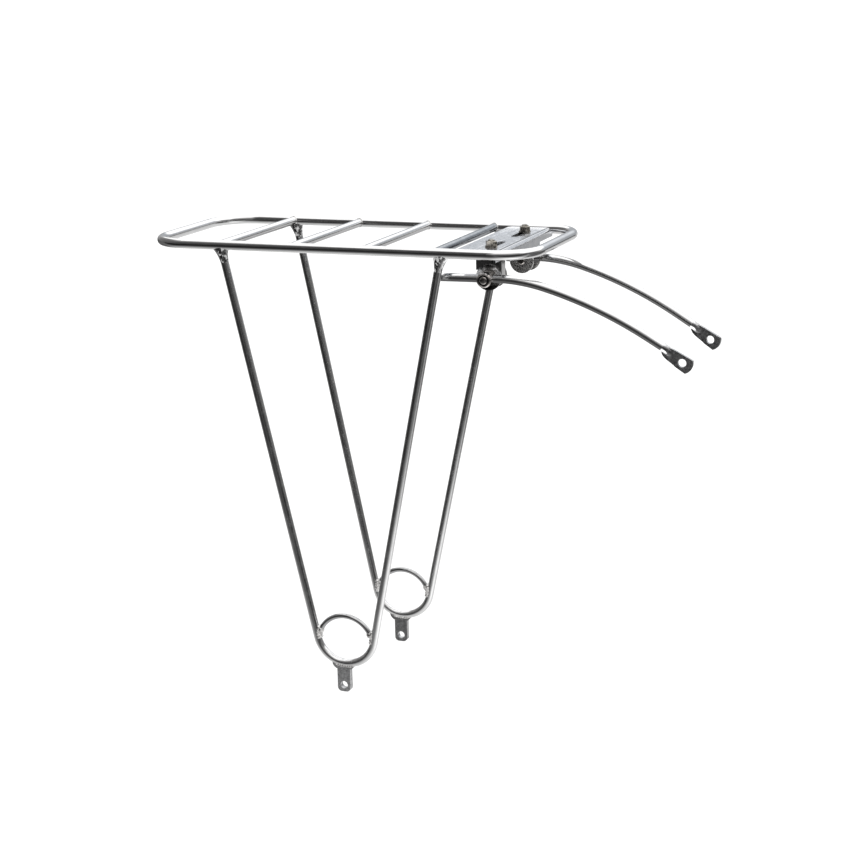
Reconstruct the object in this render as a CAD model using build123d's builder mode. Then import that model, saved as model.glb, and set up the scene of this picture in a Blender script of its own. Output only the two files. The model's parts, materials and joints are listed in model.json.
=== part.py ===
from build123d import *
import os
from math import cos, radians, sin

os.makedirs("parts", exist_ok=True)

# Rear rack for a bicycle. Frame: +X forward, +Y to the bicycle's left, +Z up, millimetres.
# Origin: midway between the two dropout eyelets, on the line through their holes.
# The right side (-Y) is modelled, and the left side is its mirror image.

# Platform: one tube loop, four cross tubes between its rails
rail_height = 370.0
rail_dia = 8.0
rail_wall = 1.0
rail_half_width = 72.0
rail_rear_x = -160.0
rail_front_x = 168.0
rail_corner_radius = 32.0
cross_dia = 7.0
cross_wall = 1.0
cross_tube_x = {
    "rear_cross_tube": -94.5,
    "second_cross_tube": -32.0,
    "third_cross_tube": 31.5,
    "front_cross_tube": 91.5,
}

# Legs: one tube per side, bent into a V with a round bottom
leg_dia = 6.5
leg_wall = 1.0
leg_centre_x = 2.0
leg_half_spread = 95.5
leg_slope = 0.212
leg_bend_radius = 26.0
leg_foot_inset = 8.5
lug_length = 15.0
lug_half_width = 8.0
lug_half_depth = 3.5
lug_start = 1.0
lug_waist_at = 9.0
lug_waist_half_width = 4.25
lug_waist_half_depth = 3.55

# Ring arc that closes the round bottom of each leg
ring_dia = 4.2
ring_radius = 24.5
ring_drop = 8.0
ring_end_angle = 21.0
bead_dia = 6.0
bead_inset = 0.025

# Dropout tab under each leg
tab_thickness = 5.0
tab_width = 11.5
tab_bottom = -5.8
tab_corner = 3.6
tab_straight_top = 14.0
tab_flare_width = 20.0
tab_flare_top = 19.5
tab_flare_radius = 6.0
eyelet_dia = 6.6

# Slotted clamp plate across the front of the platform
plate_top = 371.5
plate_thickness = 3.0
plate_rear_x = 105.5
plate_front_x = 142.0
plate_corner = 9.0
flange_depth = 7.5
flange_mid_depth = 11.5
flange_mid_half = 38.0
plate_bend_radius = 3.2
plate_end_gap = 0.5
slot_width = 6.2
slot_inner_y = 12.5
slot_outer_y = 46.5

# Clamp: stud and nut in the slot, block below, eyebolt through the block
stud_x = 128.0
stud_y = 41.2
stud_dia = 5.0
stud_top = 377.6
stud_depth = 354.5
slot_washer_dia = 10.0
slot_washer_thickness = 0.9
slot_nut_flats = 8.0
slot_nut_height = 4.0
nut_clearance = 0.1
toe_in = radians(3.0)
swivel_height = 348.7
block_rear = -10.5
block_front = 10.0
block_inner = -5.5
block_outer = 7.5
block_top_gap = 0.2
block_shoulder = 5.6
block_lobe_radius = 8.0
block_toe_bottom = -2.2
block_front_radius = 1.5
disc_dia = 20.6
outer_disc_thickness = 2.0
inner_disc_dia = 17.0
inner_disc_thickness = 1.0
swivel_nut_thickness = 2.0
disc_teeth = 36
outer_teeth_from = 7.2
nut_teeth_from = 6.0
tooth_depth = 0.35
tooth_width = 0.7
shank_dia = 6.0
head_dia = 12.0
turning_clearance = 0.2
head_seat = 5.5
head_gap = 0.1
head_end_out = 23.5
head_edge = 1.6
shank_tip = -9.6
nut_chamfer = 0.6

# Stay rod and the eyelet at its front end, in the plane of the stay
stay_dia = 6.8
stay_bore_dia = 7.0
stay_tail = 41.0
stay_straight = 6.5
stay_first_radius = 140.0
stay_first_turn = radians(16.0)
stay_second_radius = 340.0
stay_total_turn = radians(31.0)
stay_nose_straight = 15.0
stay_eyelet_dia = 6.6
stay_out = 13.2
stay_eyelet_along = 154.6
stay_eyelet_drop = 60.2
stay_plate_thickness = 3.2
stay_plate_half = 6.0
stay_plate_end_radius = 8.5
stay_plate_lower_edge = [(-3.0, -5.5), (-11.0, -4.4), (-15.8, -3.1), (-17.8, -1.6)]
stay_plate_upper_edge = [(-19.0, 3.9), (-12.0, 5.1), (-5.0, 5.6), (4.0, 6.0)]
nose_length = 9.0
nose_drop = 1.4
nose_half_width = 1.55
nose_half_depth = 4.2

pieces = {}


def keep(name, piece):
    """Register a finished piece under the name of its file."""
    pieces[name] = piece


def tube(points, radius, outer, wall, closed=False):
    """Tube along straight runs joined by arcs of one radius."""
    with BuildPart() as made:
        with BuildLine() as route:
            FilletPolyline(*points, radius=radius, close=closed)
        with BuildSketch(route.line ^ 0):
            Circle(outer / 2)
            if wall:
                Circle(outer / 2 - wall, mode=Mode.SUBTRACT)
        sweep(path=route.line)
    return made


# ---------------------------------------------------------------- platform
loop_corners = [
    (rail_rear_x, -rail_half_width, rail_height),
    (rail_front_x, -rail_half_width, rail_height),
    (rail_front_x, rail_half_width, rail_height),
    (rail_rear_x, rail_half_width, rail_height),
]
platform_loop = tube(loop_corners, rail_corner_radius, rail_dia, rail_wall, closed=True)
loop_envelope = tube(loop_corners, rail_corner_radius, rail_dia, 0, closed=True)
keep("platform_loop", platform_loop)


def cross_tube(x):
    """Cross tube whose ends are coped to the two rails."""
    with BuildPart() as made:
        with BuildSketch(Plane.XZ.offset(-rail_half_width)):
            with Locations((x, rail_height)):
                Circle(cross_dia / 2)
                Circle(cross_dia / 2 - cross_wall, mode=Mode.SUBTRACT)
        extrude(amount=2 * rail_half_width)
        add(loop_envelope.part, mode=Mode.SUBTRACT)
    return made


for cross_name, cross_x in cross_tube_x.items():
    keep(cross_name, cross_tube(cross_x))

# ---------------------------------------------------------------- clamp plate
plate_half = rail_half_width - plate_end_gap
with BuildPart() as clamp_plate:
    with BuildSketch(Plane.XZ.offset(-plate_half)):
        with BuildLine():
            Polyline(
                (plate_rear_x, plate_top),
                (plate_front_x, plate_top),
                (plate_front_x, plate_top - flange_mid_depth),
                (plate_front_x - plate_thickness, plate_top - flange_mid_depth),
                (plate_front_x - plate_thickness, plate_top - plate_thickness),
                (plate_rear_x, plate_top - plate_thickness),
                close=True,
            )
        make_face()
    extrude(amount=2 * plate_half)
    bend_edges = clamp_plate.edges().filter_by(Axis.Y)
    outer_bend = bend_edges.sort_by(Axis.X)[-2:].sort_by(Axis.Z)[-1]
    fillet(outer_bend, plate_bend_radius)
    rear_corners = clamp_plate.edges().filter_by(Axis.Z).group_by(Axis.X)[0]
    fillet(rear_corners, plate_corner)
    # the flange is shallower where it comes close to the rails
    with BuildSketch(Plane.YZ.offset(plate_front_x)):
        end_width = plate_half - flange_mid_half
        end_middle = flange_mid_half + end_width / 2
        end_bottom = plate_top - flange_depth
        with Locations((-end_middle, end_bottom), (end_middle, end_bottom)):
            Rectangle(end_width, flange_depth, align=(Align.CENTER, Align.MAX))
    extrude(amount=-plate_thickness, mode=Mode.SUBTRACT)
    with BuildSketch(Plane.XY.offset(plate_top)):
        slot_middle = (slot_inner_y + slot_outer_y) / 2
        with Locations((stud_x, -slot_middle), (stud_x, slot_middle)):
            SlotOverall(slot_outer_y - slot_inner_y, slot_width, rotation=90)
    extrude(amount=-plate_thickness, mode=Mode.SUBTRACT)
    add(loop_envelope.part, mode=Mode.SUBTRACT)
keep("clamp_plate", clamp_plate)

# ---------------------------------------------------------------- legs
apex_drop = leg_half_spread / leg_slope


def leg_point(along, drop):
    """Point in the right leg's leaning plane: X offset from its middle, depth below the rails."""
    lean = leg_foot_inset / rail_height
    return Vector(leg_centre_x + along, -rail_half_width + lean * drop, rail_height - drop)


rear_top = leg_point(-leg_half_spread, 0)
front_top = leg_point(leg_half_spread, 0)
apex = leg_point(0, apex_drop)
rear_dir = (apex - rear_top).normalized()
front_dir = (apex - front_top).normalized()
leg_route = [rear_top + rear_dir * lug_length, apex, front_top + front_dir * lug_length]
right_leg_tube = tube(leg_route, leg_bend_radius, leg_dia, leg_wall)
leg_envelope = tube(leg_route, leg_bend_radius, leg_dia, 0)
keep("right_leg_tube", right_leg_tube)


def leg_lug(top, direction, cross_x):
    """Brazed lug that spreads from the leg's round end to a saddle under the rail."""
    with BuildPart() as made:
        with BuildSketch(Plane(top + direction * lug_start, x_dir=(1, 0, 0), z_dir=direction)):
            Ellipse(lug_half_width, lug_half_depth)
        with BuildSketch(Plane(top + direction * lug_waist_at, x_dir=(1, 0, 0), z_dir=direction)):
            Ellipse(lug_waist_half_width, lug_waist_half_depth)
        with BuildSketch(Plane(top + direction * lug_length, x_dir=(1, 0, 0), z_dir=direction)):
            Circle(leg_dia / 2)
        loft()
        add(loop_envelope.part, mode=Mode.SUBTRACT)
        with BuildSketch(Plane.XZ.offset(-rail_half_width)):
            with Locations((cross_x, rail_height)):
                Circle(cross_dia / 2)
        extrude(amount=2 * rail_half_width, mode=Mode.SUBTRACT)
    return made


keep("right_rear_lug", leg_lug(rear_top, rear_dir, cross_tube_x["rear_cross_tube"]))
keep("right_front_lug", leg_lug(front_top, front_dir, cross_tube_x["front_cross_tube"]))

# Ring arc: lies in the leg's plane and ends on the inner side of the leg tube
bend_centre_drop = apex_drop - leg_bend_radius / sin(rear_dir.get_angle(Vector(0, 0, -1)) * radians(1))
ring_plane_x = Vector(1, 0, 0)
ring_plane_up = leg_point(0, 0) - leg_point(0, 1)
ring_plane = Plane(
    leg_point(0, bend_centre_drop + ring_drop),
    x_dir=ring_plane_x,
    z_dir=ring_plane_x.cross(ring_plane_up),
)
with BuildPart() as right_ring_arc:
    with BuildLine(ring_plane) as ring_route:
        CenterArc((0, 0), ring_radius, ring_end_angle, 180 - 2 * ring_end_angle)
    with BuildSketch(ring_route.line ^ 0):
        Circle(ring_dia / 2)
    sweep(path=ring_route.line)
    add(leg_envelope.part, mode=Mode.SUBTRACT)
keep("right_ring_arc", right_ring_arc)

# Weld beads where the ring arc meets the leg
with BuildPart() as right_ring_welds:
    for ring_end in (ring_route.line @ bead_inset, ring_route.line @ (1 - bead_inset)):
        with Locations(ring_end):
            Sphere(bead_dia / 2)
    add(leg_envelope.part, mode=Mode.SUBTRACT)
    add(right_ring_arc.part, mode=Mode.SUBTRACT)
keep("right_ring_welds", right_ring_welds)

# Dropout tab: upright plate, welded under the bend with flared corners
tab_y = rail_half_width - leg_foot_inset * (rail_height - tab_flare_top) / rail_height
with BuildPart() as right_dropout_tab:
    with BuildSketch(Plane.XZ.offset(tab_y - tab_thickness / 2)):
        half = tab_width / 2
        flare = tab_flare_width / 2
        with BuildLine():
            Polyline((-flare, tab_flare_top), (flare, tab_flare_top))
            RadiusArc((flare, tab_flare_top), (half, tab_straight_top), tab_flare_radius)
            Polyline(
                (half, tab_straight_top),
                (half, tab_bottom),
                (-half, tab_bottom),
                (-half, tab_straight_top),
            )
            RadiusArc((-half, tab_straight_top), (-flare, tab_flare_top), tab_flare_radius)
        make_face()
        Circle(eyelet_dia / 2, mode=Mode.SUBTRACT)
    extrude(amount=tab_thickness)
    fillet(right_dropout_tab.edges().filter_by(Axis.Y).group_by(Axis.Z)[0], tab_corner)
    add(leg_envelope.part, mode=Mode.SUBTRACT)
keep("right_dropout_tab", right_dropout_tab)

# ---------------------------------------------------------------- clamp
along = Vector(cos(toe_in), sin(toe_in), 0)
outboard = Vector(sin(toe_in), -cos(toe_in), 0)


def side_plane(out):
    """Upright plane along the stay, `out` outboard of the stud; its origin is on the eyebolt's axis."""
    return Plane(Vector(stud_x, -stud_y, swivel_height) + outboard * out, x_dir=along, z_dir=outboard)


def level_plane(height):
    """Level plane centred on the stud."""
    return Plane((stud_x, -stud_y, height), x_dir=along, z_dir=(0, 0, 1))


with BuildPart() as right_slot_washer:
    with BuildSketch(level_plane(plate_top)):
        Circle(slot_washer_dia / 2)
        Circle(stud_dia / 2 + nut_clearance, mode=Mode.SUBTRACT)
    extrude(amount=slot_washer_thickness)
keep("right_slot_washer", right_slot_washer)

with BuildPart() as right_slot_nut:
    with BuildSketch(level_plane(plate_top + slot_washer_thickness)):
        RegularPolygon(slot_nut_flats / 2, 6, major_radius=False)
    extrude(amount=slot_nut_height)
    chamfer(right_slot_nut.edges().group_by(Axis.Z)[-1], nut_chamfer)
    with BuildSketch(level_plane(plate_top + slot_washer_thickness)):
        Circle(stud_dia / 2 + nut_clearance)
    extrude(amount=slot_nut_height, mode=Mode.SUBTRACT)
keep("right_slot_nut", right_slot_nut)

with BuildPart() as right_clamp_stud:
    with BuildSketch(level_plane(stud_depth)):
        Circle(stud_dia / 2)
    extrude(amount=stud_top - stud_depth)
    chamfer(right_clamp_stud.edges().group_by(Axis.Z)[-1], nut_chamfer)
keep("right_clamp_stud", right_clamp_stud)

block_top = plate_top - plate_thickness - block_top_gap - swivel_height
lobe_corner = block_lobe_radius * sin(radians(45))
with BuildPart() as right_clamp_block:
    with BuildSketch(side_plane(block_inner)):
        with BuildLine():
            Polyline(
                (-block_lobe_radius, 0),
                (-block_lobe_radius, block_shoulder),
                (block_rear, block_shoulder),
                (block_rear, block_top),
                (block_front, block_top),
                (block_front, block_toe_bottom),
                (lobe_corner, -lobe_corner),
            )
            CenterArc((0, 0), block_lobe_radius, -45, -135)
        make_face()
        Circle((shank_dia + turning_clearance) / 2, mode=Mode.SUBTRACT)
    extrude(amount=block_outer - block_inner)
    front_edges = right_clamp_block.edges().filter_by(Axis.Z).group_by(Axis.X)[-2:]
    fillet([edge for group in front_edges for edge in group], block_front_radius)
    # seat that the eyebolt's head turns in
    with BuildSketch(side_plane(head_seat)):
        Circle((head_dia + turning_clearance) / 2)
    extrude(amount=block_outer - head_seat, mode=Mode.SUBTRACT)
    with BuildSketch(level_plane(stud_depth)):
        Circle(stud_dia / 2)
    extrude(amount=block_top + swivel_height - stud_depth, mode=Mode.SUBTRACT)
keep("right_clamp_block", right_clamp_block)


def toothed_disc(out, thickness, bore, groove_floor, teeth_from):
    """Disc on the eyebolt's axis, with radial grooves from the plane `groove_floor` outwards."""
    with BuildPart() as made:
        with BuildSketch(side_plane(out)):
            Circle(disc_dia / 2)
            Circle(bore / 2, mode=Mode.SUBTRACT)
        extrude(amount=thickness)
        groove_length = disc_dia / 2 - teeth_from + tooth_width
        with BuildSketch(side_plane(groove_floor)):
            with PolarLocations(teeth_from + groove_length / 2, disc_teeth):
                Rectangle(groove_length, tooth_width)
        extrude(amount=tooth_depth, mode=Mode.SUBTRACT)
    return made


# Outer disc, grooved on the face that grips the stay, with a bore for the eyebolt's head
outer_groove_floor = block_outer + outer_disc_thickness - tooth_depth
head_bore = head_dia + turning_clearance
keep(
    "right_outer_disc",
    toothed_disc(block_outer, outer_disc_thickness, head_bore, outer_groove_floor, outer_teeth_from),
)

inner_disc_at = block_inner - inner_disc_thickness
with BuildPart() as right_inner_disc:
    with BuildSketch(side_plane(inner_disc_at)):
        Circle(inner_disc_dia / 2)
        Circle((shank_dia + turning_clearance) / 2, mode=Mode.SUBTRACT)
    extrude(amount=inner_disc_thickness)
keep("right_inner_disc", right_inner_disc)

# Round nut on the eyebolt's inner end, grooved on its free face
swivel_nut_at = inner_disc_at - swivel_nut_thickness
keep(
    "right_swivel_nut",
    toothed_disc(swivel_nut_at, swivel_nut_thickness, shank_dia, swivel_nut_at, nut_teeth_from),
)

# Eyebolt: long round head with a cross hole for the stay, and a threaded shank
head_at = head_seat + head_gap
with BuildPart() as right_eyebolt:
    with BuildSketch(side_plane(head_at)):
        Circle(head_dia / 2)
    extrude(amount=head_end_out - head_at)
    head_end = right_eyebolt.faces().filter_by(GeomType.PLANE).sort_by(Axis.Y)[0]
    fillet(head_end.edges(), head_edge)
    with BuildSketch(side_plane(shank_tip)):
        Circle(shank_dia / 2)
    extrude(amount=head_at - shank_tip)
    shank_end = right_eyebolt.faces().filter_by(GeomType.PLANE).sort_by(Axis.Y)[-1]
    chamfer(shank_end.edges(), nut_chamfer)
    bore_start = side_plane(stay_out).origin - along * head_dia
    with BuildSketch(Plane(bore_start, x_dir=outboard, z_dir=along)):
        Circle(stay_bore_dia / 2)
    extrude(amount=2 * head_dia, mode=Mode.SUBTRACT)
keep("right_eyebolt", right_eyebolt)

# ---------------------------------------------------------------- stay
stay_plane = side_plane(stay_out)
first_end = (
    stay_straight + stay_first_radius * sin(stay_first_turn),
    -stay_first_radius * (1 - cos(stay_first_turn)),
)
second_end = (
    first_end[0] + stay_second_radius * (sin(stay_total_turn) - sin(stay_first_turn)),
    first_end[1] - stay_second_radius * (cos(stay_first_turn) - cos(stay_total_turn)),
)
rod_end = (
    second_end[0] + stay_nose_straight * cos(stay_total_turn),
    second_end[1] - stay_nose_straight * sin(stay_total_turn),
)
with BuildPart() as right_stay_rod:
    with BuildLine(stay_plane) as stay_route:
        Line((-stay_tail, 0), (stay_straight, 0))
        RadiusArc((stay_straight, 0), first_end, stay_first_radius)
        RadiusArc(first_end, second_end, stay_second_radius)
        Line(second_end, rod_end)
    with BuildSketch(stay_route.line ^ 0):
        Circle(stay_dia / 2)
    sweep(path=stay_route.line)
    tail_end = right_stay_rod.faces().filter_by(GeomType.PLANE).sort_by(Axis.X)[0]
    chamfer(tail_end.edges(), nut_chamfer)
keep("right_stay_rod", right_stay_rod)

# Eyelet: flat plate round the bolt hole, blended from the rod's round end
eyelet_centre = stay_plane.from_local_coords((stay_eyelet_along, -stay_eyelet_drop, 0))
nose_dir = along * cos(stay_total_turn) - Vector(0, 0, 1) * sin(stay_total_turn)
eyelet_face = eyelet_centre - outboard * stay_plate_thickness / 2
eyelet_plane = Plane(eyelet_face, x_dir=nose_dir, z_dir=outboard)
nose_start = stay_plane.from_local_coords((rod_end[0], rod_end[1], 0))
end_corner_x = (stay_plate_end_radius**2 - stay_plate_half**2) ** 0.5
with BuildPart() as right_stay_eyelet:
    with BuildSketch(eyelet_plane):
        with BuildLine():
            Line((end_corner_x, -stay_plate_half), stay_plate_lower_edge[0])
            Spline(*stay_plate_lower_edge)
            Line(stay_plate_lower_edge[-1], stay_plate_upper_edge[0])
            Spline(*stay_plate_upper_edge)
            Line(stay_plate_upper_edge[-1], (end_corner_x, stay_plate_half))
            ThreePointArc(
                (end_corner_x, stay_plate_half),
                (stay_plate_end_radius, 0),
                (end_corner_x, -stay_plate_half),
            )
        make_face()
    extrude(amount=stay_plate_thickness)
    with BuildSketch(Plane(nose_start, x_dir=outboard, z_dir=nose_dir)):
        Circle(stay_dia / 2)
    nose_end = nose_start + nose_dir * nose_length - Vector(0, 0, nose_drop)
    with BuildSketch(Plane(nose_end, x_dir=outboard, z_dir=nose_dir)):
        Ellipse(nose_half_width, nose_half_depth)
    loft()
    with BuildSketch(eyelet_plane):
        Circle(stay_eyelet_dia / 2)
    extrude(amount=stay_plate_thickness, mode=Mode.SUBTRACT)
keep("right_stay_eyelet", right_stay_eyelet)

# ---------------------------------------------------------------- left side
for right_name in [name for name in pieces if name.startswith("right_")]:
    with BuildPart() as left_piece:
        mirror(pieces[right_name].part, about=Plane.XZ)
    keep(right_name.replace("right_", "left_"), left_piece)

for name, piece in pieces.items():
    piece.part.label = name
    export_step(piece.part, f"parts/{name}.step")
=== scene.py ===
import json
from math import cos, pi, radians, sin

import bmesh
import bpy
from mathutils import Matrix, Vector


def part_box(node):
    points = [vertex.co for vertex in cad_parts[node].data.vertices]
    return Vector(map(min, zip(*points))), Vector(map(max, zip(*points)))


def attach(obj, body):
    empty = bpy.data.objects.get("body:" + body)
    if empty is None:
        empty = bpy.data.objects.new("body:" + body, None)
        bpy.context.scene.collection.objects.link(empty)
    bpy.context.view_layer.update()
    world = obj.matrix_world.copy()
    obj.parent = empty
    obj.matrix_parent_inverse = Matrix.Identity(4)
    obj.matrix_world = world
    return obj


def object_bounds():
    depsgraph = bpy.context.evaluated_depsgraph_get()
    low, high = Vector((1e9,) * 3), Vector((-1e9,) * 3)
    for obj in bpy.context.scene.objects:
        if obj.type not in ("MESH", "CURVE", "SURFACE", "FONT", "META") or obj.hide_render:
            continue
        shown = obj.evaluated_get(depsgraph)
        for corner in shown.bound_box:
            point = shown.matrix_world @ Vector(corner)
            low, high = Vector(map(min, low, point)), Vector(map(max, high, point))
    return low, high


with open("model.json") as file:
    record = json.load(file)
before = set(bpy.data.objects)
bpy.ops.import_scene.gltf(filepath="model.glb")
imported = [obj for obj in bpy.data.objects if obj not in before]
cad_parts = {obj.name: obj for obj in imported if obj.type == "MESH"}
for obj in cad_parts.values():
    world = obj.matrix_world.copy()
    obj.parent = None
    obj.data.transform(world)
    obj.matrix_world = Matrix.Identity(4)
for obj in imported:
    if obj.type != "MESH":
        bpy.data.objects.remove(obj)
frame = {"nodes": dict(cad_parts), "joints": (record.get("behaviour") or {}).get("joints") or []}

cad_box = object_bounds()

# ------------------------------------------------------------------ places, in millimetres
MM = 0.001
UP = Vector((0, 0, 1))
SIDES = {"right": -1, "left": 1}
JOINTS = {joint["name"]: joint for joint in frame["joints"]}

RAIL_R, CROSS_R = 4.0, 3.5
loop_low, loop_high = (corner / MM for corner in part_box("platform_loop"))
RAIL_Y = loop_high.y - RAIL_R
RAIL_Z = (loop_low.z + loop_high.z) / 2
CROSS_X = {
    cross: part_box(f"{cross}_cross_tube")[1].x / MM - CROSS_R
    for cross in ("rear", "second", "third", "front")
}
PLATE_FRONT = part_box("clamp_plate")[1].x / MM
ROD_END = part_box("right_stay_rod")[1].x / MM
NUT_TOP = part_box("right_slot_nut")[1].z / MM
SWIVEL_Z = JOINTS["right_stay_tilt"]["pos_m"][2] / MM
TAB_Y, TAB_HALF = 63.95, 2.5    # middle of a dropout tab's thickness, and half of it
BEND_X, BEND_Z = 2.0, 44.93     # centre of the leg's bottom bend


# ------------------------------------------------------------------ node helpers
NOISE_ROUGHNESS = 0.55
TINT_FROM, TINT_TO = 0.3, 0.7             # noise factors at which a clouded tint reaches its ends


def new_material(name):
    """An empty node material, its tree and its Principled shader."""
    mat = bpy.data.materials.new(name)
    mat.use_nodes = True
    tree = mat.node_tree
    return mat, tree, tree.nodes["Principled BSDF"]


def coordinates(tree, kind="Object"):
    """Output of a texture coordinate node."""
    return tree.nodes.new("ShaderNodeTexCoord").outputs[kind]


def axes_of(tree, kind="Object"):
    """X, Y and Z outputs of a texture coordinate."""
    split = tree.nodes.new("ShaderNodeSeparateXYZ")
    tree.links.new(coordinates(tree, kind), split.inputs["Vector"])
    return split.outputs


def maths(tree, operation, first, second=None):
    """Maths node; operands are sockets or numbers."""
    node = tree.nodes.new("ShaderNodeMath")
    node.operation = operation
    for socket, value in zip(node.inputs, (first, second)):
        if value is None:
            continue
        if isinstance(value, (int, float)):
            socket.default_value = value
        else:
            tree.links.new(value, socket)
    return node.outputs["Value"]


def map_range(tree, source, low, high, from_low, from_high):
    """Value that goes from `low` to `high` as the source goes from `from_low` to `from_high`."""
    node = tree.nodes.new("ShaderNodeMapRange")
    node.inputs["From Min"].default_value = from_low
    node.inputs["From Max"].default_value = from_high
    node.inputs["To Min"].default_value = low
    node.inputs["To Max"].default_value = high
    tree.links.new(source, node.inputs["Value"])
    return node.outputs["Result"]


def window(tree, source, start, stop):
    """Smooth rise from 0 at `start` to 1 at `stop`."""
    node = tree.nodes.new("ShaderNodeMapRange")
    node.interpolation_type = "SMOOTHSTEP"
    node.inputs["From Min"].default_value = start
    node.inputs["From Max"].default_value = stop
    tree.links.new(source, node.inputs["Value"])
    return node.outputs["Result"]


def blend(tree, low_value, high_value, weight):
    """low_value where the weight is 0, high_value where it is 1."""
    kept = maths(tree, "MULTIPLY", low_value, maths(tree, "SUBTRACT", 1.0, weight))
    return maths(tree, "ADD", kept, maths(tree, "MULTIPLY", high_value, weight))


def ramp(tree, source, stops):
    """Colour ramp fed by a factor; stops are (position, colour)."""
    node = tree.nodes.new("ShaderNodeValToRGB")
    tree.links.new(source, node.inputs["Fac"])
    elements = node.color_ramp.elements
    while len(elements) < len(stops):
        elements.new(0.5)
    for element, (position, colour) in zip(elements, stops):
        element.position = position
        element.color = (*colour, 1.0)
    return node.outputs["Color"]


def steps(tree, source, stops, low, high):
    """Piecewise-linear value over `low` to `high`, through a colour ramp."""
    span = high - low
    place = maths(tree, "DIVIDE", maths(tree, "SUBTRACT", source, low), span)
    peak = max(value for _, value in stops)
    grey = [((at - low) / span, (value / peak,) * 3) for at, value in stops]
    return maths(tree, "MULTIPLY", ramp(tree, place, grey), peak)


def noise(tree, coords, scale, detail=3.0, stretch=(1, 1, 1)):
    """Noise factor on the given coordinates, stretched by a scale for each axis."""
    mapping = tree.nodes.new("ShaderNodeMapping")
    mapping.inputs["Scale"].default_value = stretch
    tree.links.new(coords, mapping.inputs["Vector"])
    node = tree.nodes.new("ShaderNodeTexNoise")
    node.inputs["Scale"].default_value = scale
    node.inputs["Detail"].default_value = detail
    node.inputs["Roughness"].default_value = NOISE_ROUGHNESS
    tree.links.new(mapping.outputs["Vector"], node.inputs["Vector"])
    return node.outputs["Fac"]


# ------------------------------------------------------------------ materials
WEAR_SCALE = 2.7                          # scale of the wear against that of the clouds
WEAR_FROM, WEAR_TO = 0.12, 0.42           # wear at which the roughness reaches its ends


def metal(name, dark, light, rough, scratch=(1, 1, 1), bump=0.02, grain=900.0, cloud=60.0, depth=0.0002):
    """Worn bright metal: clouded tint, uneven polish and fine scratches.

    `dark` and `light` are the ends of the tint and `rough` those of the roughness. `scratch` stretches the
    grain along each axis. `grain` and `cloud` are noise scales, and `bump` and `depth` (metres) the relief.
    """
    mat, tree, shader = new_material(name)
    coords = coordinates(tree)
    shader.inputs["Metallic"].default_value = 1.0
    clouds = noise(tree, coords, cloud, detail=5.0)
    tree.links.new(ramp(tree, clouds, [(TINT_FROM, dark), (TINT_TO, light)]), shader.inputs["Base Color"])
    lines = noise(tree, coords, grain, detail=2.0, stretch=scratch)
    wear = maths(tree, "MULTIPLY", lines, noise(tree, coords, WEAR_SCALE * cloud, detail=6.0))
    polish = map_range(tree, wear, *rough, WEAR_FROM, WEAR_TO)
    tree.links.new(polish, shader.inputs["Roughness"])
    relief = tree.nodes.new("ShaderNodeBump")
    relief.inputs["Strength"].default_value = bump
    relief.inputs["Distance"].default_value = depth
    tree.links.new(lines, relief.inputs["Height"])
    tree.links.new(relief.outputs["Normal"], shader.inputs["Normal"])
    return mat


ALONG_X, ALONG_Y, ALONG_Z = (0.03, 1, 1), (1, 0.03, 1), (1, 1, 0.03)
BRIGHT = ((0.67, 0.668, 0.668), (0.75, 0.748, 0.75))
GREY = ((0.32, 0.32, 0.325), (0.66, 0.66, 0.665))

tube_x = metal("tube_polished_x", *BRIGHT, (0.04, 0.15), ALONG_X)
tube_y = metal("tube_polished_y", *BRIGHT, (0.04, 0.15), ALONG_Y)
tube_z = metal("tube_polished_z", *BRIGHT, (0.12, 0.28), ALONG_Z, bump=0.04)
# Painted reflection: the front cross tube gets a dark bluish copy of the tubes' steel, for the dark plate it
# reflects
front_tube_dark_reflection = metal("front_tube_dark_reflection", (0.21, 0.225, 0.245), (0.33, 0.35, 0.375), (0.06, 0.20), ALONG_Y,
                   bump=0.05, cloud=140.0)
# Painted shade: the ring arc gets a darker copy of the rails' polished steel
ring_steel_shaded = metal("ring_steel_shaded", (0.42, 0.42, 0.42), (0.54, 0.54, 0.545), (0.04, 0.12))
lug_steel = metal("lug_steel", (0.66, 0.66, 0.66), (0.92, 0.92, 0.92), (0.06, 0.20), (1, 1, 0.6),
                  bump=0.8, grain=260.0, cloud=160.0, depth=0.0012)
braze = metal("braze", (0.58, 0.57, 0.56), (0.84, 0.83, 0.82), (0.14, 0.34), bump=0.25, grain=500.0)
tab = metal("tab_steel", *GREY, (0.20, 0.46), bump=0.45, grain=650.0, cloud=420.0)

stay_satin = metal("stay_satin", *BRIGHT, (0.07, 0.19), ALONG_X, bump=0.03)
eyelet_steel = metal("eyelet_steel", *GREY, (0.20, 0.46), bump=0.18, grain=650.0, cloud=420.0)
pressed = metal("pressed_steel", (0.84, 0.84, 0.85), (0.92, 0.92, 0.93), (0.05, 0.12))

zinc = metal("plate_zinc", (0.80, 0.82, 0.86), (0.95, 0.96, 0.98), (0.12, 0.30), (1, 0.02, 1),
             bump=0.035, grain=420.0, cloud=120.0)
yellow = metal("yellow_passivated", (0.10, 0.09, 0.075), (0.54, 0.51, 0.46), (0.06, 0.20),
               bump=0.08, cloud=420.0)
casting = metal("clamp_casting", (0.36, 0.36, 0.36), (0.60, 0.59, 0.59), (0.08, 0.20), (1, 1, 0.06),
                bump=0.14, grain=700.0)
disc = metal("disc_steel", (0.24, 0.24, 0.23), (0.88, 0.87, 0.86), (0.14, 0.40),
             bump=0.30, grain=700.0, cloud=520.0)
teeth_steel = metal("disc_teeth", (0.74, 0.73, 0.72), (0.94, 0.93, 0.92), (0.05, 0.14),
                    bump=0.04, cloud=300.0)
nut_face = metal("nut_face", (0.66, 0.65, 0.64), (0.98, 0.97, 0.95), (0.12, 0.34),
                 bump=0.7, grain=560.0, cloud=520.0, depth=0.0005)
eyebolt = metal("clamp_steel", (0.46, 0.42, 0.39), (0.74, 0.71, 0.69), (0.03, 0.12), bump=0.03, cloud=260.0)
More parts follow.
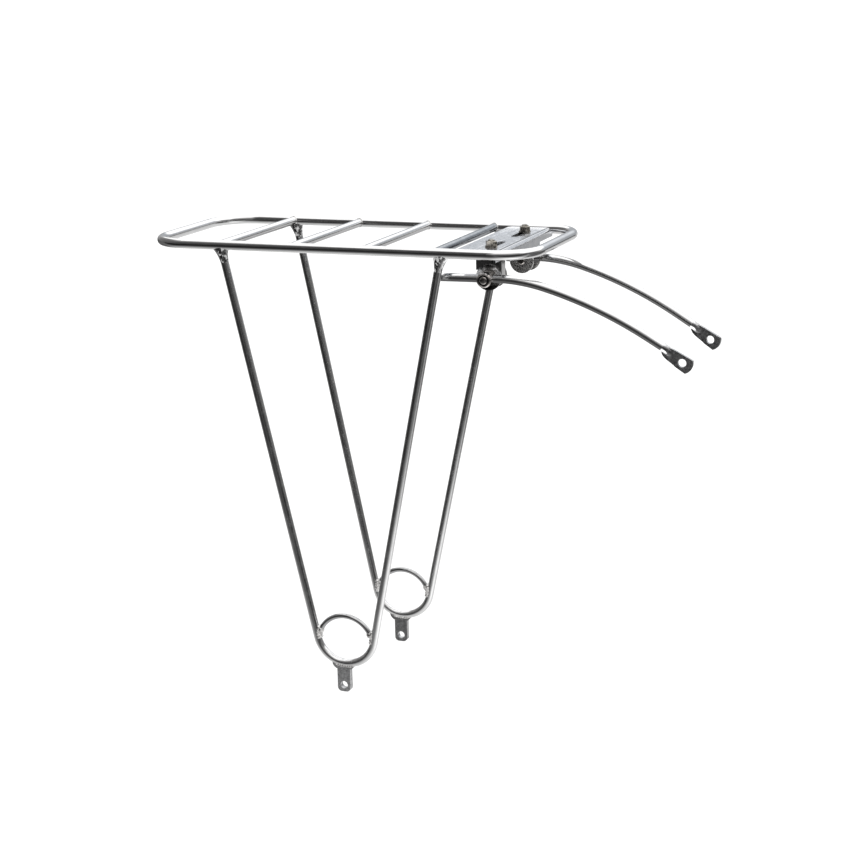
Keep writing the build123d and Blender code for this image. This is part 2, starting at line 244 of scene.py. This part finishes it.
# Painted shade: near-black, for a ring laid in the groove of the eyebolt's head
groove_shade = metal("groove_shade", (0.02, 0.02, 0.02), (0.06, 0.06, 0.06), (0.35, 0.6), bump=0.3)


# ------------------------------------------------------------------ darkening, painted shade, painted highlights and polish on them
def scale_colour(mat, amount, factor):
    """Multiply a material's colour by `factor` where `amount` is 1, fading to no change where it is 0."""
    tree = mat.node_tree
    colour = tree.nodes["Principled BSDF"].inputs["Base Color"]
    scaled = tree.nodes.new("ShaderNodeVectorMath")
    scaled.operation = "SCALE"
    tree.links.new(colour.links[0].from_socket, scaled.inputs[0])
    tree.links.new(map_range(tree, amount, 1.0, factor, 0.0, 1.0), scaled.inputs["Scale"])
    tree.links.new(scaled.outputs["Vector"], colour)


def darkened_band(mat, axis, low_at, high_at, factor):
    """Colour multiplied by `factor` in a band across a part, between two positions along an axis in
    millimetres.
    """
    tree = mat.node_tree
    along = axes_of(tree)[axis]
    soft = 0.3 * (high_at - low_at)
    rise = map_range(tree, along, 0.0, 1.0, (low_at - soft) * MM, (low_at + soft) * MM)
    fall = map_range(tree, along, 1.0, 0.0, (high_at - soft) * MM, (high_at + soft) * MM)
    scale_colour(mat, maths(tree, "MULTIPLY", rise, fall), factor)


def underside_shade(mat, start, full, factor):
    """Painted shade: darker colour on faces that look down, from normal height `start` to `full`."""
    tree = mat.node_tree
    facing = axes_of(tree, "Normal")
    scale_colour(mat, map_range(tree, facing["Z"], 0.0, 1.0, start, full), factor)


def polished_highlit_end(mat, start_x, end_x, brighter, smoother):
    """Smoother polish and a painted highlight (brighter colour) that fade out along X, from `start_x` to
    `end_x` in millimetres.
    """
    tree = mat.node_tree
    amount = map_range(tree, axes_of(tree)["X"], 1.0, 0.0, start_x * MM, end_x * MM)
    scale_colour(mat, amount, brighter)
    rough = tree.nodes["Principled BSDF"].inputs["Roughness"]
    buffing = map_range(tree, amount, 1.0, smoother, 0.0, 1.0)
    tree.links.new(maths(tree, "MULTIPLY", rough.links[0].from_socket, buffing), rough)


def pale_highlight_patches(mat, scale, metallic, start, full):
    """Painted highlights: patches that turn pale and dull (less metallic), where the noise goes from `start`
    to `full`.
    """
    tree = mat.node_tree
    patches = noise(tree, coordinates(tree), scale, detail=2.0)
    amount = map_range(tree, patches, 1.0, metallic, start, full)
    tree.links.new(amount, tree.nodes["Principled BSDF"].inputs["Metallic"])


# Painted shade: a dark line in the clamp plate's front fold, and a fainter darkening in front of it that dims
# the bend's highlight
darkened_band(zinc, "X", PLATE_FRONT - 3.1, PLATE_FRONT - 1.9, factor=0.05)
darkened_band(zinc, "X", PLATE_FRONT - 1.5, PLATE_FRONT - 0.7, factor=0.50)
# Painted shade and painted dark reflection on the lower and the upper part of the outer discs' teeth
darkened_band(teeth_steel, "Z", SWIVEL_Z - 10.3, SWIVEL_Z - 5.1, factor=0.06)
darkened_band(teeth_steel, "Z", SWIVEL_Z + 7.8, SWIVEL_Z + 11.3, factor=0.20)
# Darker colour over the inner part of both dropout tabs' thickness
for inner_from, inner_to in ((0.95 - TAB_Y, 4.95 - TAB_Y), (TAB_Y - 4.95, TAB_Y - 0.95)):
    darkened_band(tab, "Y", inner_from, inner_to, factor=0.52)
# Painted shade on the downward faces of the stays and of the rear, second and third cross tubes
underside_shade(stay_satin, start=0.15, full=-0.60, factor=0.15)
underside_shade(tube_y, start=0.10, full=-0.70, factor=0.45)
# Painted highlights on the lugs and on the braze beads
pale_highlight_patches(lug_steel, scale=250.0, metallic=0.45, start=0.50, full=0.57)
pale_highlight_patches(braze, scale=330.0, metallic=0.50, start=0.49, full=0.55)
# Painted highlight, with a smoother polish, on the eyelet next to the rod's end
polished_highlit_end(eyelet_steel, ROD_END - 0.6, ROD_END + 2.9, brighter=1.35, smoother=0.30)

LOOKS = {
    "platform_loop": tube_x,
    "clamp_plate": zinc,
    "leg_tube": tube_z,
    "ring_arc": ring_steel_shaded,
    "rear_lug": lug_steel,
    "front_lug": lug_steel,
    "ring_welds": braze,
    "dropout_tab": tab,
    "slot_washer": yellow,
    "slot_nut": yellow,
    "clamp_stud": yellow,
    "clamp_block": casting,
    "outer_disc": disc,
    "inner_disc": disc,
    "eyebolt": eyebolt,
    "swivel_nut": nut_face,
    "stay_rod": stay_satin,
    "stay_eyelet": eyelet_steel,
}


def look_of(name):
    """The material of a CAD node, the same on both sides."""
    if name.endswith("cross_tube"):
        return front_tube_dark_reflection if name.startswith("front") else tube_y
    for side_name in SIDES:
        name = name.removeprefix(side_name + "_")
    return LOOKS[name]


for name, node in frame["nodes"].items():
    node.data.materials.clear()
    node.data.materials.append(look_of(name))


# ------------------------------------------------------------------ mesh helpers
def place(name, mesh):
    """Object with the given mesh or camera, linked to the scene."""
    made = bpy.data.objects.new(name, mesh)
    bpy.context.scene.collection.objects.link(made)
    return made


def add_piece(name, shape, material, body):
    """Turn a bmesh in metres into a piece that rides on a body."""
    bmesh.ops.recalc_face_normals(shape, faces=shape.faces)
    mesh = bpy.data.meshes.new(name)
    shape.to_mesh(mesh)
    shape.free()
    mesh.materials.append(material)
    made = place(name, mesh)
    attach(made, body)


def ring_of(shape, centre, across, up, radius, around):
    """Ring of vertices about a centre in millimetres."""
    turns = [2 * pi * k / around for k in range(around)]
    return [shape.verts.new((centre + radius * (cos(t) * across + sin(t) * up)) * MM) for t in turns]


def skin(shape, first, second, smooth):
    """Band of faces between two closed rows of vertices."""
    for k in range(len(first)):
        after = (k + 1) % len(first)
        face = shape.faces.new((first[k], first[after], second[after], second[k]))
        face.smooth = smooth


# ------------------------------------------------------------------ weld beads
BEAD_AROUND = 12
BEAD_LEAN = Vector((0.13, 0.21, 0.97))    # a direction in which no bead runs
BEAD_TIP, BEAD_SWELL = 0.25, 6            # an open bead's size at its ends, and how fast it grows from there


def swept_bead(name, points, closed, radius, ripple, ripples):
    """Weld bead: a round section carried along a path in millimetres, with ripples along its length."""
    count = len(points)
    shape = bmesh.new()
    rings = []
    for i, point in enumerate(points):
        before = points[i - 1] if (closed or i) else point
        after = points[(i + 1) % count] if (closed or i < count - 1) else point
        ahead = (after - before).normalized()
        across = ahead.cross(BEAD_LEAN).normalized()
        size = radius * (1 + ripple * sin(ripples * 2 * pi * i / count))
        if not closed:
            size *= min(1.0, BEAD_TIP + BEAD_SWELL * min(i, count - 1 - i) / count)
        rings.append(ring_of(shape, point, across, ahead.cross(across), size, BEAD_AROUND))
    for first, second in zip(rings, rings[1:]):
        skin(shape, first, second, smooth=True)
    if closed:
        skin(shape, rings[-1], rings[0], smooth=True)
    else:
        for end in (rings[0][::-1], rings[-1]):
            shape.faces.new(end).smooth = True
    add_piece(name, shape, braze, "rack")


def saddle(x, side):
    """Line on which a cross tube meets the rail on one side, -1 right or 1 left."""
    line = []
    count = 96
    for step in range(count):
        turn = 2 * pi * step / count
        rise = CROSS_R * sin(turn)
        inward = (RAIL_R**2 - rise**2) ** 0.5
        line.append(Vector((x + CROSS_R * cos(turn), side * (RAIL_Y - inward), RAIL_Z + rise)))
    return line


def bend_arc(radius, from_angle, to_angle, y, count):
    """Points on an arc about the leg's bottom bend, between two angles in degrees from +X."""
    arc = []
    for step in range(count):
        turn = radians(from_angle + (to_angle - from_angle) * step / (count - 1))
        arc.append(Vector((BEND_X + radius * cos(turn), y, BEND_Z + radius * sin(turn))))
    return arc


for cross, cross_x in CROSS_X.items():
    for side_name, side in SIDES.items():
        line = saddle(cross_x, side)
        swept_bead(f"{cross}_{side_name}_braze", line, closed=True, radius=0.55, ripple=0.10, ripples=17)

# Fillet weld of each dropout tab, along the leg's bend on the tab's outer and inner face
TAB_WELD_R = 28.1
for side_name, side in SIDES.items():
    for face_name, out in (("outer", TAB_HALF), ("inner", -TAB_HALF)):
        arc = bend_arc(TAB_WELD_R, -112, -74, side * (TAB_Y + out), count=61)
        name = f"{side_name}_tab_weld_{face_name}"
        swept_bead(name, arc, closed=False, radius=0.95, ripple=0.14, ripples=9)

# Weld that runs along the leg at each end of the ring arc, on its outer and inner face
RING_BEAD_R, RING_BEAD_OUT = 24.2, 1.5
for side_name, side in SIDES.items():
    for end_name, from_angle, to_angle in (("rear", 168, 197), ("front", 12, -17)):
        for face_name, out in (("outer", RING_BEAD_OUT), ("inner", -RING_BEAD_OUT)):
            arc = bend_arc(RING_BEAD_R, from_angle, to_angle, side * (TAB_Y + out), count=41)
            name = f"{side_name}_{end_name}_ring_bead_{face_name}"
            swept_bead(name, arc, closed=False, radius=2.05, ripple=0.16, ripples=5)


# ------------------------------------------------------------------ clamp and stay details
def clamp_frame(side_name):
    """Centre of a clamp's swivel in millimetres, and the directions along and outboard of its stay."""
    tilt = JOINTS[f"{side_name}_stay_tilt"]
    forward = Vector(JOINTS[f"{side_name}_stay_slide"]["axis"]).normalized()
    outboard = -SIDES[side_name] * Vector(tilt["axis"]).normalized()
    return Vector(tilt["pos_m"]) / MM, forward, outboard


def turned(name, centre, axis, profile, material, body, around=64):
    """Turned piece: profile of (distance along the axis, radius) in millimetres, closed at both ends."""
    shape = bmesh.new()
    across = axis.cross(UP).normalized()
    up = across.cross(axis)
    rings = [ring_of(shape, centre + axis * out, across, up, radius, around) for out, radius in profile]
    for first, second in zip(rings, rings[1:]):
        skin(shape, first, second, smooth=True)
    for end in (rings[0], rings[-1]):
        shape.faces.new(end)
    add_piece(name, shape, material, body)


# End face of the eyebolt's head: raised rim, deep ring groove and low dome in the middle
CAP_PROFILE = [
    (22.4, 4.3), (22.9, 5.0), (23.5, 5.45), (23.9, 5.35), (24.15, 4.95), (24.1, 4.55), (23.8, 4.3),
    (23.6, 4.05), (23.55, 3.6), (23.62, 3.2), (24.0, 2.9), (24.25, 2.35), (24.38, 1.6), (24.44, 0.9),
    (24.46, 0.25),
]
# Painted shade: a near-black ring laid over the floor of the head's ring groove
GROOVE_SHADE_PROFILE = [
    (23.5, 4.6), (23.98, 4.55), (23.96, 4.35), (23.78, 4.0), (23.78, 3.2), (23.95, 2.85), (23.5, 2.7),
]
for side_name in SIDES:
    centre, forward, outboard = clamp_frame(side_name)
    swivel = f"{side_name}_swivel"
    turned(f"{side_name}_eyebolt_cap", centre, outboard, CAP_PROFILE, eyebolt, swivel)
    turned(f"{side_name}_cap_groove_shade", centre, outboard, GROOVE_SHADE_PROFILE, groove_shade, swivel)

TEETH, TEETH_INNER_R, TEETH_OUTER_R = 96, 6.35, 10.1
DISC_FACE_OUT = 9.5                       # the outer disc's face, outboard of the swivel's centre
TOOTH_LIFT, VALLEY_LIFT, TEETH_SUNK = 0.24, 0.01, 0.1


def disc_teeth(side_name):
    """Ring of V-shaped radial teeth that stands on the outer disc's face."""
    centre, forward, outboard = clamp_frame(side_name)
    shape = bmesh.new()
    rims = []
    sunk = DISC_FACE_OUT - TEETH_SUNK
    for k in range(2 * TEETH):
        turn = pi * k / TEETH
        ray = forward * cos(turn) + UP * sin(turn)
        top = DISC_FACE_OUT + (TOOTH_LIFT if k % 2 else VALLEY_LIFT)
        section = ((TEETH_INNER_R, sunk), (TEETH_INNER_R, top), (TEETH_OUTER_R, top), (TEETH_OUTER_R, sunk))
        rims.append([shape.verts.new((centre + ray * r + outboard * out) * MM) for r, out in section])
    for first, second in zip(rims, rims[1:] + rims[:1]):
        skin(shape, first, second, smooth=False)
    add_piece(f"{side_name}_disc_teeth", shape, teeth_steel, f"{side_name}_hanger")


for side_name in SIDES:
    disc_teeth(side_name)

THREAD_PITCH, THREAD_HEIGHT, THREAD_AROUND = 0.3, 0.14, 40


def thread_profile(start, crests, radius):
    """Profile of thread crests for `turned`, from `start` on."""
    profile = []
    for crest in range(crests):
        for share, height in ((0.0, 0.0), (0.25, THREAD_HEIGHT), (0.5, THREAD_HEIGHT), (0.75, 0.0)):
            profile.append((start + (crest + share) * THREAD_PITCH, radius + height))
    return profile


# Thread crests above the stud's nut and on the eyebolt's inner end. The stud's don't show: on a vertical
# axis `turned` finds no direction across, so that they shrink to a line inside the stud.
STUD_THREAD = thread_profile(NUT_TOP + 0.05, crests=2, radius=2.45)
EYEBOLT_THREAD = thread_profile(-9.1, crests=1, radius=2.95)
for side_name in SIDES:
    centre, forward, outboard = clamp_frame(side_name)
    hanger, swivel = f"{side_name}_hanger", f"{side_name}_swivel"
    stud = Vector((centre.x, centre.y, 0))
    turned(f"{side_name}_stud_thread", stud, UP, STUD_THREAD, yellow, hanger, THREAD_AROUND)
    turned(f"{side_name}_eyebolt_thread", centre, outboard, EYEBOLT_THREAD, eyebolt, swivel,
           THREAD_AROUND)

# Stay eyelet's bolt hole from the swivel's centre: outboard, along the stay and down, and the plate's slope
EYE_OUT, EYE_ALONG, EYE_DROP, EYE_ANGLE = 13.2, 154.6, 60.2, radians(31.0)
# Pressed step: each corner's place in the eyelet's plane, from its hole, and height above its middle
STEP_OUTLINE = [
    (-19.3, 1.5, 3.1), (-15.5, 1.3, 2.9), (-13.6, 0.6, 3.3), (-13.9, 0.1, 3.8), (-17.8, -0.1, 4.3),
    (-19.2, 0.0, 4.4),
]
STEP_FOOT = 0.6


def eyelet_step(side_name):
    """Pressed step between the rod's round end and the flat eyelet, on both faces of the plate."""
    centre, forward, outboard = clamp_frame(side_name)
    eye = centre + outboard * EYE_OUT + forward * EYE_ALONG - UP * EYE_DROP
    plate_u = forward * cos(EYE_ANGLE) - UP * sin(EYE_ANGLE)
    plate_v = forward * sin(EYE_ANGLE) + UP * cos(EYE_ANGLE)
    shape = bmesh.new()
    for face_side in (1, -1):
        top, foot = [], []
        for u, v, height in STEP_OUTLINE[::face_side]:
            corner = eye + plate_u * u + plate_v * v
            top.append(shape.verts.new((corner + outboard * height * face_side) * MM))
            foot.append(shape.verts.new((corner + outboard * STEP_FOOT * face_side) * MM))
        shape.faces.new(top)
        shape.faces.new(foot[::-1])
        skin(shape, top, foot, smooth=False)
    add_piece(f"{side_name}_eyelet_step", shape, pressed, f"{side_name}_stay")


for side_name in SIDES:
    eyelet_step(side_name)


# ------------------------------------------------------------------ floor, in metres from here on
def level_sheet(name, box, height):
    """Level rectangle over (x0, y0, x1, y1) at a height."""
    x0, y0, x1, y1 = box
    corners = [(x0, y0, height), (x1, y0, height), (x1, y1, height), (x0, y1, height)]
    mesh = bpy.data.meshes.new(name)
    mesh.from_pydata(corners, [], [(0, 1, 2, 3)])
    return place(name, mesh)


WIDE_BOX = (-40.0, -40.0, 40.0, 40.0)
FLOOR_GAP = 0.02
floor = level_sheet("floor", WIDE_BOX, cad_box[0][2] - FLOOR_GAP)
floor_mat, floor_tree, floor_shader = new_material("floor_paper")
paper = noise(floor_tree, coordinates(floor_tree), 3.0)
floor_tint = ramp(floor_tree, paper, [(TINT_FROM, (0.90, 0.90, 0.90)), (TINT_TO, (0.94, 0.94, 0.94))])
floor_tree.links.new(floor_tint, floor_shader.inputs["Base Color"])
floor_shader.inputs["Roughness"].default_value = 0.9
floor.data.materials.append(floor_mat)
floor.visible_glossy = False


# ------------------------------------------------------------------ cards that only mirror-like surfaces see
def reflected_card(name, box, height):
    """Level card that glows for reflections only: its node tree, its emission, and its X and Y sockets."""
    card = level_sheet(name, box, height)
    card.visible_camera = False
    card.visible_diffuse = False
    card.visible_shadow = False
    mat, tree, shader = new_material(name + "_glow")
    tree.nodes.remove(shader)
    where = axes_of(tree)
    glow = tree.nodes.new("ShaderNodeEmission")
    card.data.materials.append(mat)
    return tree, glow, where["X"], where["Y"]


TABLE_DROP = 0.15
# Brightness towards the camera (-Y) and behind the rack (+Y), and along X on the camera's side
TABLE_DEPTH = [
    (-1.9, 0.06), (-1.2, 0.07), (-0.8, 0.10), (-0.62, 0.15), (-0.5, 0.26), (-0.36, 0.44), (-0.14, 0.75),
    (0.1, 0.9), (2.5, 0.66),
]
TABLE_WIDTH = [
    (-1.6, 0.2), (-0.9, 0.25), (-0.5, 0.6), (-0.25, 0.9), (0.0, 1.0), (0.3, 2.0), (0.45, 1.6), (0.65, 0.75),
    (0.9, 0.6), (1.4, 0.4),
]
TABLE_FLARE, EDGE_LOSS = 0.25, 0.84       # how the far part widens with depth, and what its edges lose
TABLE_RIGHT_EDGE, TABLE_LEFT_EDGE = (0.26, 0.55), (0.35, 0.7)
TABLE_NEAR_TO_FAR = (-0.12, 0.25)


def add_table():
    """Table: white under and behind the rack, darker towards the camera, brighter on the right."""
    tree, glow, at_x, at_y = reflected_card("table_card", WIDE_BOX, -TABLE_DROP)
    fall = steps(tree, at_y, TABLE_DEPTH, low=-2.0, high=3.0)
    near = maths(tree, "MULTIPLY", fall, steps(tree, at_x, TABLE_WIDTH, low=-2.0, high=2.0))
    spread = maths(tree, "MULTIPLY", at_y, TABLE_FLARE)
    past_right = window(tree, maths(tree, "SUBTRACT", at_x, spread), *TABLE_RIGHT_EDGE)
    leftward = maths(tree, "MULTIPLY", maths(tree, "ADD", at_x, spread), -1.0)
    past_left = window(tree, leftward, *TABLE_LEFT_EDGE)
    lost = maths(tree, "MULTIPLY", maths(tree, "MAXIMUM", past_left, past_right), EDGE_LOSS)
    far = maths(tree, "MULTIPLY", fall, maths(tree, "SUBTRACT", 1.0, lost))
    tree.links.new(blend(tree, near, far, window(tree, at_y, *TABLE_NEAR_TO_FAR)), glow.inputs["Strength"])
    tree.links.new(glow.outputs["Emission"], tree.nodes["Material Output"].inputs["Surface"])


SOFT_BOX, SOFT_BOX_HEIGHT, SOFT_BOX_STRENGTH = (-1.8, -0.95, 3.2, 2.6), 1.37, 1.5
SLANT_X, SLANT_Y = 1.3, 0.7
LEFT_FADE, RIGHT_FADE, FRONT_FADE = (-1.22, -0.96), (-3.0, -2.0), (-0.92, -0.46)


def add_soft_box():
    """Soft box overhead, faded on the left along a slant, on the right and towards the camera."""
    tree, glow, at_x, at_y = reflected_card("soft_box", SOFT_BOX, SOFT_BOX_HEIGHT)
    glow.inputs["Strength"].default_value = SOFT_BOX_STRENGTH
    slant = maths(tree, "ADD", maths(tree, "MULTIPLY", at_x, SLANT_X), maths(tree, "MULTIPLY", at_y, SLANT_Y))
    left = window(tree, slant, *LEFT_FADE)
    right = window(tree, maths(tree, "MULTIPLY", at_x, -1.0), *RIGHT_FADE)
    front = window(tree, at_y, *FRONT_FADE)
    lit = maths(tree, "MULTIPLY", maths(tree, "MULTIPLY", left, right), front)
    clear = tree.nodes.new("ShaderNodeBsdfTransparent")
    choose = tree.nodes.new("ShaderNodeMixShader")
    tree.links.new(lit, choose.inputs["Fac"])
    tree.links.new(clear.outputs["BSDF"], choose.inputs[1])
    tree.links.new(glow.outputs["Emission"], choose.inputs[2])
    tree.links.new(choose.outputs["Shader"], tree.nodes["Material Output"].inputs["Surface"])


add_table()
add_soft_box()

# ------------------------------------------------------------------ room
world = bpy.data.worlds.new("studio")
bpy.context.scene.world = world
world.use_nodes = True
sky = world.node_tree
sky_x, sky_y, sky_z = axes_of(sky, "Generated")

# Brightness of the room as the metal sees it, by degrees up from level and by degrees aside from the camera
ROOM_FRONT = [(0, 0.036), (24, 0.048), (40, 0.11), (60, 0.4)]
ROOM_SIDE = [(15, 0.0), (35, 0.03), (60, 0.07), (90, 0.11), (115, 0.17), (140, 0.38)]
ROOM_BACK = [(-1, 0.56), (4, 0.46), (11, 0.48), (17, 0.80), (22, 1.1), (28, 1.4)]
LAMP_RISE = [(0, 0.0), (15, 0.14), (31, 0.42), (47, 0.95), (60, 1.2)]
BACK_WALL, LAMP_START, LAMP_STOP = (130.0, 158.0), (-24.0, -2.0), (-75.0, -45.0)
PAPER_WHITE = 1.3

# Dark behind the camera, grey at the sides, a lamp high up on the right, and a white wall behind the rack
heading = maths(sky, "DEGREES", maths(sky, "ARCTAN2", sky_x, maths(sky, "MULTIPLY", sky_y, -1.0)))
aside = maths(sky, "ABSOLUTE", heading)
rise = maths(sky, "DEGREES", maths(sky, "ARCSINE", sky_z))
room_front = steps(sky, rise, ROOM_FRONT, -90, 90)
room_side = steps(sky, aside, ROOM_SIDE, 0, 180)
room_back = steps(sky, rise, ROOM_BACK, -90, 90)
behind = window(sky, aside, *BACK_WALL)
lamp_from = window(sky, heading, *LAMP_START)
lamp_to = window(sky, maths(sky, "MULTIPLY", heading, -1.0), *LAMP_STOP)
lamp_aside = maths(sky, "MULTIPLY", lamp_from, lamp_to)
lamp = maths(sky, "MULTIPLY", steps(sky, rise, LAMP_RISE, -90, 90), lamp_aside)
seen = blend(sky, maths(sky, "ADD", maths(sky, "ADD", room_front, room_side), lamp), room_back, behind)
tint = sky.nodes.new("ShaderNodeCombineColor")
for channel, warm, cool in (("Red", 1.01, 0.96), ("Green", 1.0, 1.0), ("Blue", 1.0, 1.05)):
    gain = blend(sky, warm, cool, behind)
    sky.links.new(maths(sky, "MULTIPLY", seen, gain), tint.inputs[channel])
room = sky.nodes["Background"]
sky.links.new(tint.outputs["Color"], room.inputs["Color"])
room.inputs["Strength"].default_value = 1.0

# Every other ray sees plain white paper
paper_white = sky.nodes.new("ShaderNodeBackground")
paper_white.inputs["Color"].default_value = (1.0, 1.0, 1.0, 1.0)
paper_white.inputs["Strength"].default_value = PAPER_WHITE
choose = sky.nodes.new("ShaderNodeMixShader")
ray = sky.nodes.new("ShaderNodeLightPath")
sky.links.new(ray.outputs["Is Glossy Ray"], choose.inputs["Fac"])
sky.links.new(paper_white.outputs["Background"], choose.inputs[1])
sky.links.new(room.outputs["Background"], choose.inputs[2])
sky.links.new(choose.outputs["Shader"], sky.nodes["World Output"].inputs["Surface"])

# ------------------------------------------------------------------ camera
IMAGE_WIDTH = 852
SENSOR = 36.0
FOCAL_PX = 1977.0
CAMERA_AT = (0.64358, -1.48946, 0.60984)
azimuth, elevation, roll = radians(21.625), radians(13.951), radians(-1.338)
back = Vector((sin(azimuth) * cos(elevation), -cos(azimuth) * cos(elevation), sin(elevation)))
level = Vector((cos(azimuth), sin(azimuth), 0.0))
upward = back.cross(level)
right = cos(roll) * level + sin(roll) * upward
upright = cos(roll) * upward - sin(roll) * level
camera_data = bpy.data.cameras.new("camera")
camera_data.sensor_width = SENSOR
camera_data.lens = FOCAL_PX * SENSOR / IMAGE_WIDTH
camera_data.clip_end = 100.0
camera = place("camera", camera_data)
camera.matrix_world = Matrix.Translation(CAMERA_AT) @ Matrix((right, upright, back)).transposed().to_4x4()
bpy.context.scene.camera = camera

settings = bpy.context.scene.view_settings
settings.view_transform = "Standard"
settings.look = "None"
settings.exposure = 0.0
